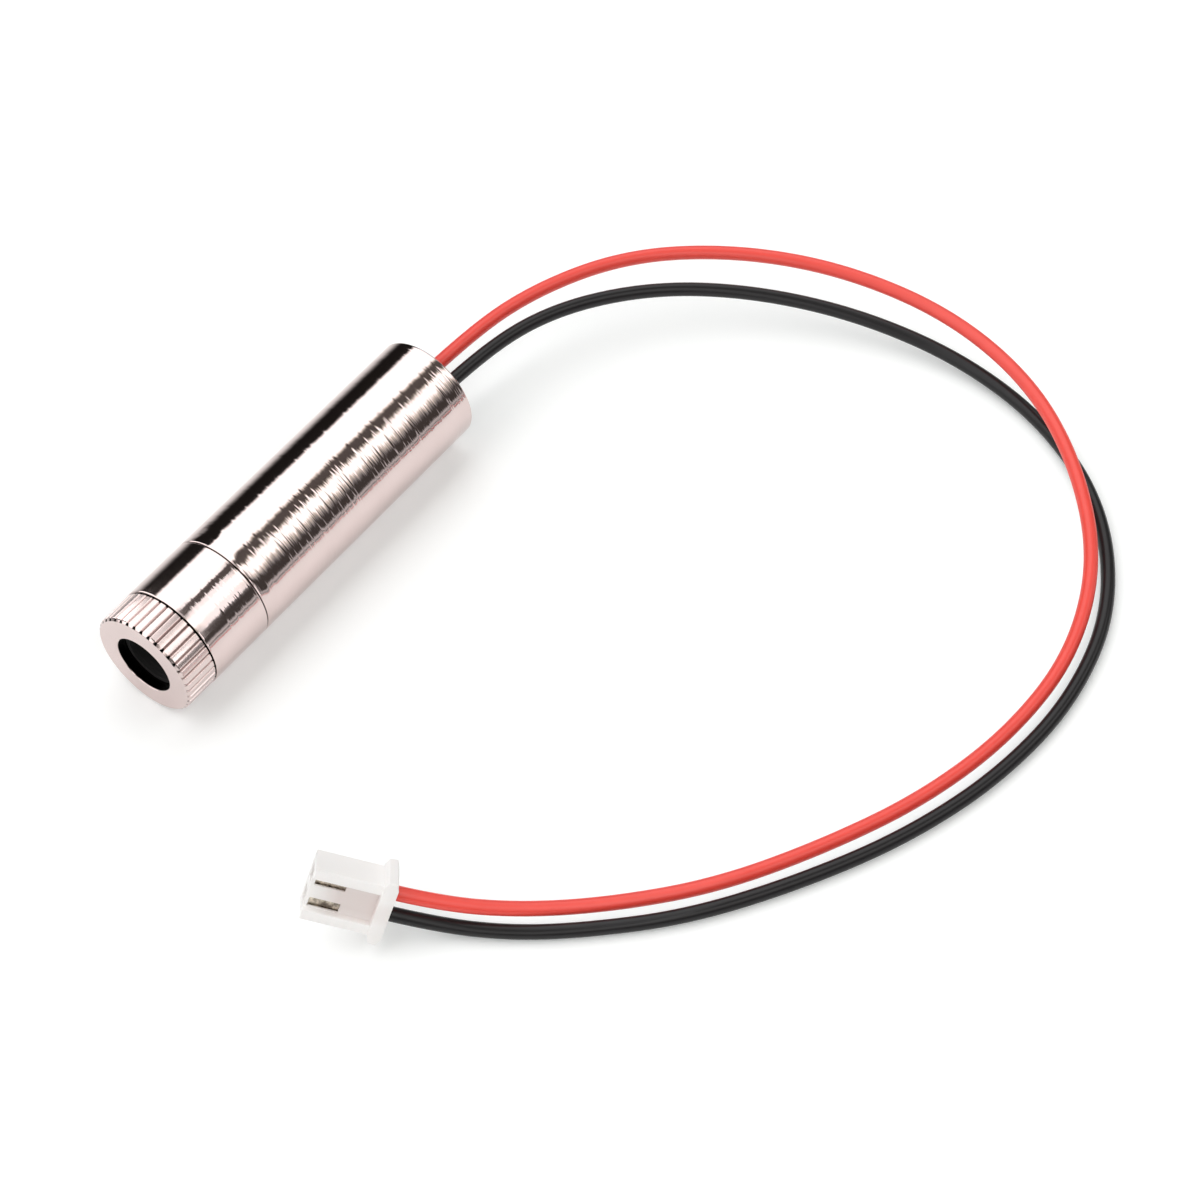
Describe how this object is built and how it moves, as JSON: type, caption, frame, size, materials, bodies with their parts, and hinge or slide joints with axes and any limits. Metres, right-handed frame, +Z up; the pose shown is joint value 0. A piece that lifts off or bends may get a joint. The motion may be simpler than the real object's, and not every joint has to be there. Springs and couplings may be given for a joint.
{
  "type": "laser diode module",
  "caption": "Laser diode module: bright metal barrel with a knurled screw-in focus ring, round beam aperture, and red and black supply wires ending in a small white plug.",
  "frame": {"origin": "on the surface that the barrel lies on, below the middle of the barrel", "axes": "+Z up, Y along the barrel with the beam leaving towards -Y, +X to the side where the wires and the plug lie"},
  "size_m": [0.0804, 0.0997, 0.012],
  "materials": {
    "nickel": "turned and nickel-plated",
    "cell_black": "matt black",
    "lens_glass": "polished",
    "spring_steel": "drawn wire",
    "gold_plate": "gold-plated",
    "board_green": "solder mask",
    "chip_black": "moulded",
    "capacitor_yellow": "moulded",
    "ceramic_tan": "fired ceramic",
    "trimmer_blue": "moulded",
    "tin": "tinned",
    "potting": "cast resin",
    "red_pvc": "satin",
    "black_pvc": "satin",
    "plug_white": "milky nylon"
  },
  "bodies": {
    "module": {"rear_housing": "nickel", "front_housing": "nickel", "diode_base": "gold_plate", "diode_can": "gold_plate", "diode_window": "lens_glass", "diode_leads": "gold_plate", "driver_board": "board_green", "regulator_chip": "chip_black", "pass_transistor": "chip_black", "input_capacitor": "capacitor_yellow", "ceramic_capacitors": "ceramic_tan", "resistors": "chip_black", "trimmer": "trimmer_blue", "solder_joints": "tin", "wire_ends": "tin", "rear_seal": "potting", "red_wire": "red_pvc", "black_wire": "black_pvc", "plug_housing": "plug_white", "plug_contacts": "tin"},
    "lens_carriage": {"lens_cell": "cell_black", "collimating_lens": "lens_glass", "lens_retainer": "cell_black", "focus_spring": "spring_steel"},
    "ring": {"focus_ring": "nickel"}
  },
  "joints": [
    {"name": "focus_travel", "type": "slide", "parent": "module", "child": "lens_carriage", "axis": [0, -1, 0], "range_m": [-0.00015, 0.0015], "deforming": ["focus_spring"]},
    {"name": "focus_turn", "type": "hinge", "parent": "lens_carriage", "child": "ring", "pos_m": [0, -0.02022, 0.006], "axis": [0, -1, 0], "range_deg": [-109, 1081]}
  ],
  "couplings": [
    {"joint": "focus_turn", "follows": "focus_travel", "rad_per_m": 12566}
  ]
}
